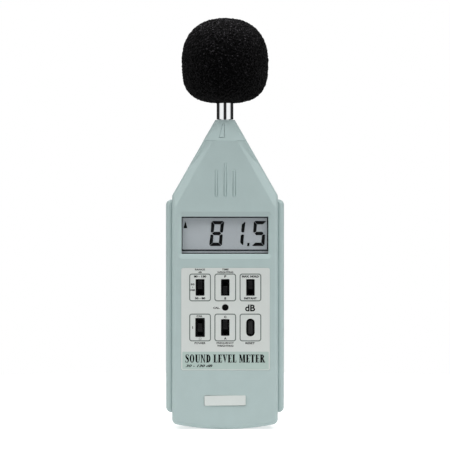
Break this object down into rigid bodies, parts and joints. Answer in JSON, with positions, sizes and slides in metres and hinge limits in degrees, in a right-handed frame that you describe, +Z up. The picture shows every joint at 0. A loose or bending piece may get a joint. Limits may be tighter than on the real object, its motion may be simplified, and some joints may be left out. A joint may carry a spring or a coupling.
{
  "type": "sound level meter",
  "caption": "Hand-held sound level meter with a foam-covered microphone on a tapered nose, a display window, slide switches and a battery compartment in its back.",
  "frame": {"origin": "middle of the casing's bottom edge", "axes": "+Z up along the microphone axis, the front with the display faces -Y, +X to the right seen from the front"},
  "size_m": [0.0684, 0.0508, 0.2384],
  "materials": {
    "casing_plastic": "fine satin moulded plastic",
    "label_plastic": "printed satin overlay",
    "black_plastic": "satin moulded plastic",
    "chip_plastic": "moulded epoxy",
    "clear_window": "clear polished",
    "display_glass": "grey reflective liquid crystal panel",
    "trimmer_plastic": "moulded rotor",
    "chrome": "polished",
    "screw_steel": "zinc plated",
    "brass": "turned",
    "foam": "open-cell foam",
    "rubber": "layered conductive rubber",
    "board_laminate": "solder mask",
    "capacitor_sleeve": "shrunk sleeve",
    "battery_jacket": "printed metal jacket",
    "red_insulation": "wire insulation",
    "black_insulation": "wire insulation",
    "grey_insulation": "wire insulation"
  },
  "bodies": {
    "casing": {"front_casing": "casing_plastic", "rear_casing": "casing_plastic", "faceplate_label": "label_plastic", "blank_plate": "label_plastic", "casing_screw_1": "screw_steel", "casing_screw_2": "screw_steel", "casing_screw_3": "screw_steel", "casing_screw_4": "screw_steel", "board_screw_1": "screw_steel", "board_screw_2": "screw_steel", "board_screw_3": "screw_steel", "board_screw_4": "screw_steel", "tripod_insert": "brass", "display_window": "clear_window", "display_panel": "display_glass", "display_holder": "black_plastic", "contact_strip_upper": "rubber", "contact_strip_lower": "rubber", "circuit_board": "board_laminate", "converter_chip": "chip_plastic", "amplifier_chip_1": "chip_plastic", "amplifier_chip_2": "chip_plastic", "amplifier_chip_3": "chip_plastic", "capacitor_1": "capacitor_sleeve", "capacitor_2": "capacitor_sleeve", "capacitor_3": "capacitor_sleeve", "range_switch_body": "black_plastic", "time_weighting_switch_body": "black_plastic", "max_hold_switch_body": "black_plastic", "power_switch_body": "black_plastic", "frequency_weighting_switch_body": "black_plastic", "reset_switch_body": "black_plastic", "trimmer_body": "black_plastic", "microphone_barrel": "chrome", "microphone_capsule": "screw_steel", "microphone_grille": "chrome", "microphone_lead": "grey_insulation", "battery": "battery_jacket", "battery_snap": "black_plastic", "battery_lead_positive": "red_insulation", "battery_lead_negative": "black_insulation"},
    "windscreen": {"windscreen": "foam"},
    "battery_cover": {"battery_cover": "casing_plastic"},
    "range_slider": {"range_slider": "black_plastic"},
    "time_weighting_slider": {"time_weighting_slider": "black_plastic"},
    "max_hold_slider": {"max_hold_slider": "black_plastic"},
    "power_slider": {"power_slider": "black_plastic"},
    "frequency_weighting_slider": {"frequency_weighting_slider": "black_plastic"},
    "reset_button": {"reset_button": "black_plastic"},
    "trimmer_rotor": {"trimmer_rotor": "trimmer_plastic"}
  },
  "joints": [
    {"name": "windscreen_pull", "type": "slide", "parent": "casing", "child": "windscreen", "axis": [0, 0, 1], "range_m": [0, 0.028]},
    {"name": "battery_cover_tilt", "type": "hinge", "parent": "casing", "child": "battery_cover", "pos_m": [0, 0.0125, 0.0062], "axis": [-1, 0, 0], "range_deg": [0, 75]},
    {"name": "range_slide", "type": "slide", "parent": "casing", "child": "range_slider", "axis": [0, 0, 1], "range_m": [-0.0031, 0]},
    {"name": "time_weighting_slide", "type": "slide", "parent": "casing", "child": "time_weighting_slider", "axis": [0, 0, 1], "range_m": [0, 0.0031]},
    {"name": "max_hold_slide", "type": "slide", "parent": "casing", "child": "max_hold_slider", "axis": [0, 0, 1], "range_m": [-0.0031, 0]},
    {"name": "power_slide", "type": "slide", "parent": "casing", "child": "power_slider", "axis": [0, 0, 1], "range_m": [-0.0021, 0.0021]},
    {"name": "frequency_weighting_slide", "type": "slide", "parent": "casing", "child": "frequency_weighting_slider", "axis": [0, 0, 1], "range_m": [-0.0031, 0]},
    {"name": "reset_press", "type": "slide", "parent": "casing", "child": "reset_button", "axis": [0, 1, 0], "range_m": [0, 0.0008], "stiffness_N_per_m": 600, "springref_m": -0.0005},
    {"name": "trimmer_turn", "type": "hinge", "parent": "casing", "child": "trimmer_rotor", "pos_m": [0.00015, -0.0088, 0.0706], "axis": [0, 1, 0], "range_deg": [-135, 135]}
  ]
}
